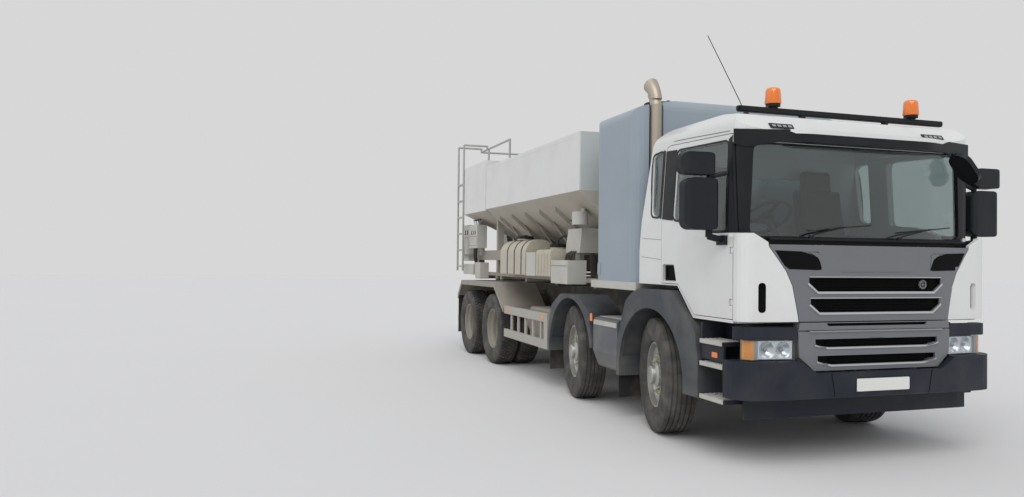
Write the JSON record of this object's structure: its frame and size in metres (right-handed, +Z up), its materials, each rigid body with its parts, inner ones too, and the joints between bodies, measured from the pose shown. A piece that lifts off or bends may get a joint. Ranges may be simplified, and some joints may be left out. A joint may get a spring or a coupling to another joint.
{
  "type": "volumetric concrete mixer truck",
  "caption": "Four-axle day-cab truck that carries a water tank, a hopper for sand and stone, a cement bin and a mixing auger that slews and lifts behind.",
  "frame": {"origin": "middle of the bounding box on the ground, with the auger stowed", "axes": "+X forward along the truck, +Y to its left, +Z up"},
  "size_m": [10.1674, 3.18, 3.577],
  "materials": {
    "tyre": "matt",
    "chassis_black": "dusty semi-matt",
    "engine_grey": "matt",
    "cab_white": "gloss",
    "glass": "clear",
    "interior_dark": "matt",
    "slate_plastic": "satin",
    "black_plastic": "satin",
    "amber_plastic": "clear amber",
    "grille_grey": "satin silver-grey",
    "lamp_clear": "clear",
    "wing_beige": "dusty",
    "flap_rubber": "matt",
    "locker_grey": "satin",
    "guard_beige": "dusty",
    "tank_white": "satin, bluish white",
    "stack_steel": "heat-stained",
    "frame_beige": "dusty",
    "bin_white": "dusty white",
    "belt_rubber": "matt",
    "tank_cream": "satin",
    "box_white": "satin",
    "galvanised": "galvanised grey",
    "trough_grey": "worn",
    "screw_steel": "worn",
    "rod_chrome": "polished",
    "rim_metal": "satin",
    "rim_beige": "dusty"
  },
  "bodies": {
    "truck": {"chassis_frame": "chassis_black", "axles": "chassis_black", "engine_block": "engine_grey", "cab_shell": "cab_white", "cab_glass": "glass", "cab_interior": "interior_dark", "cab_trim": "black_plastic", "roof_lights": "amber_plastic", "corner_panels": "cab_white", "lower_grille": "grille_grey", "bumper": "slate_plastic", "headlamps": "lamp_clear", "cab_steps": "slate_plastic", "steer_wings": "slate_plastic", "rear_wings": "wing_beige", "mud_flaps": "flap_rubber", "side_lockers": "locker_grey", "side_guards": "guard_beige", "chassis_tanks": "guard_beige", "water_tank": "tank_white", "exhaust_stack": "stack_steel", "body_subframe": "frame_beige", "aggregate_bin": "bin_white", "cement_bin": "bin_white", "conveyor": "belt_rubber", "admix_tanks": "tank_cream", "control_boxes": "box_white", "ladder_rails": "galvanised"},
    "knuckle_1r": {"knuckle_1r": "chassis_black"},
    "wheel_1r": {"steer_tyre_1r": "tyre", "steer_rim_1r": "rim_metal"},
    "knuckle_1l": {"knuckle_1l": "chassis_black"},
    "wheel_1l": {"steer_tyre_1l": "tyre", "steer_rim_1l": "rim_metal"},
    "knuckle_2r": {"knuckle_2r": "chassis_black"},
    "wheel_2r": {"steer_tyre_2r": "tyre", "steer_rim_2r": "rim_metal"},
    "knuckle_2l": {"knuckle_2l": "chassis_black"},
    "wheel_2l": {"steer_tyre_2l": "tyre", "steer_rim_2l": "rim_metal"},
    "wheel_3r": {"twin_tyres_3r": "tyre", "twin_rims_3r": "rim_beige"},
    "wheel_3l": {"twin_tyres_3l": "tyre", "twin_rims_3l": "rim_beige"},
    "wheel_4r": {"twin_tyres_4r": "tyre", "twin_rims_4r": "rim_beige"},
    "wheel_4l": {"twin_tyres_4l": "tyre", "twin_rims_4l": "rim_beige"},
    "door_right": {"door_right": "cab_white", "door_glass_right": "glass", "mirror_right": "slate_plastic"},
    "door_left": {"door_left": "cab_white", "door_glass_left": "glass", "mirror_left": "slate_plastic"},
    "grille_hatch": {"grille_hatch": "grille_grey"},
    "turntable": {"turntable": "frame_beige"},
    "trough": {"trough": "trough_grey"},
    "screw": {"screw": "screw_steel"},
    "lift_barrel": {"lift_cylinder": "chassis_black"},
    "lift_rod": {"lift_rod": "rod_chrome"}
  },
  "joints": [
    {"name": "steer_1r", "type": "hinge", "parent": "truck", "child": "knuckle_1r", "pos_m": [3.55365, -0.93, 0.525], "axis": [0, 0, 1], "range_deg": [-20, 48]},
    {"name": "spin_1r", "type": "hinge", "parent": "knuckle_1r", "child": "wheel_1r", "pos_m": [3.55365, -0.93, 0.525], "axis": [0.2419, 0.9703, 0], "continuous": true},
    {"name": "steer_1l", "type": "hinge", "parent": "truck", "child": "knuckle_1l", "pos_m": [3.55365, 0.93, 0.525], "axis": [0, 0, 1], "range_deg": [-20, 48]},
    {"name": "spin_1l", "type": "hinge", "parent": "knuckle_1l", "child": "wheel_1l", "pos_m": [3.55365, 0.93, 0.525], "axis": [0.2419, 0.9703, 0], "continuous": true},
    {"name": "steer_2r", "type": "hinge", "parent": "truck", "child": "knuckle_2r", "pos_m": [1.61365, -0.93, 0.525], "axis": [0, 0, 1], "range_deg": [-14, 33.6]},
    {"name": "spin_2r", "type": "hinge", "parent": "knuckle_2r", "child": "wheel_2r", "pos_m": [1.61365, -0.93, 0.525], "axis": [0.1702, 0.9854, 0], "continuous": true},
    {"name": "steer_2l", "type": "hinge", "parent": "truck", "child": "knuckle_2l", "pos_m": [1.61365, 0.93, 0.525], "axis": [0, 0, 1], "range_deg": [-14, 33.6]},
    {"name": "spin_2l", "type": "hinge", "parent": "knuckle_2l", "child": "wheel_2l", "pos_m": [1.61365, 0.93, 0.525], "axis": [0.1702, 0.9854, 0], "continuous": true},
    {"name": "spin_3r", "type": "hinge", "parent": "truck", "child": "wheel_3r", "pos_m": [-1.51635, -0.9225, 0.525], "axis": [0, 1, 0], "continuous": true},
    {"name": "spin_3l", "type": "hinge", "parent": "truck", "child": "wheel_3l", "pos_m": [-1.51635, 0.9225, 0.525], "axis": [0, 1, 0], "continuous": true},
    {"name": "spin_4r", "type": "hinge", "parent": "truck", "child": "wheel_4r", "pos_m": [-2.87135, -0.9225, 0.525], "axis": [0, 1, 0], "continuous": true},
    {"name": "spin_4l", "type": "hinge", "parent": "truck", "child": "wheel_4l", "pos_m": [-2.87135, 0.9225, 0.525], "axis": [0, 1, 0], "continuous": true},
    {"name": "door_right_swing", "type": "hinge", "parent": "truck", "child": "door_right", "pos_m": [4.81365, -1.186, 1.46], "axis": [0, 0, 1], "range_deg": [0, 75]},
    {"name": "door_left_swing", "type": "hinge", "parent": "truck", "child": "door_left", "pos_m": [4.81365, 1.186, 1.46], "axis": [0, 0, -1], "range_deg": [0, 75]},
    {"name": "grille_hatch_lift", "type": "hinge", "parent": "truck", "child": "grille_hatch", "pos_m": [4.94865, 0, 1.7], "axis": [0, -1, 0], "range_deg": [0, 65]},
    {"name": "auger_slew", "type": "hinge", "parent": "truck", "child": "turntable", "pos_m": [-3.99635, 0, 1.1], "axis": [0, 0, 1], "range_deg": [-80, 80]},
    {"name": "auger_lift", "type": "hinge", "parent": "turntable", "child": "trough", "pos_m": [-3.99635, 0, 1.5], "axis": [0, -1, 0], "range_deg": [0, 50]},
    {"name": "screw_spin", "type": "hinge", "parent": "trough", "child": "screw", "pos_m": [-3.99635, 0, 1.5], "axis": [-0.5, 0, 0.866], "continuous": true},
    {"name": "barrel_tilt", "type": "hinge", "parent": "turntable", "child": "lift_barrel", "pos_m": [-4.19635, 0, 0.8], "axis": [0, -1, 0], "range_deg": [0, 15.5]},
    {"name": "rod_slide", "type": "slide", "parent": "lift_barrel", "child": "lift_rod", "axis": [-0.2475, 0, 0.9689], "range_m": [-0.3845, 0]}
  ],
  "couplings": [
    {"joint": "steer_1l", "follows": "steer_1r", "ratio": 1},
    {"joint": "steer_2r", "follows": "steer_1r", "ratio": 0.7},
    {"joint": "steer_2l", "follows": "steer_1r", "ratio": 0.7},
    {"joint": "barrel_tilt", "follows": "auger_lift", "ratio": 0.31},
    {"joint": "rod_slide", "follows": "auger_lift", "m_per_rad": -0.44}
  ]
}
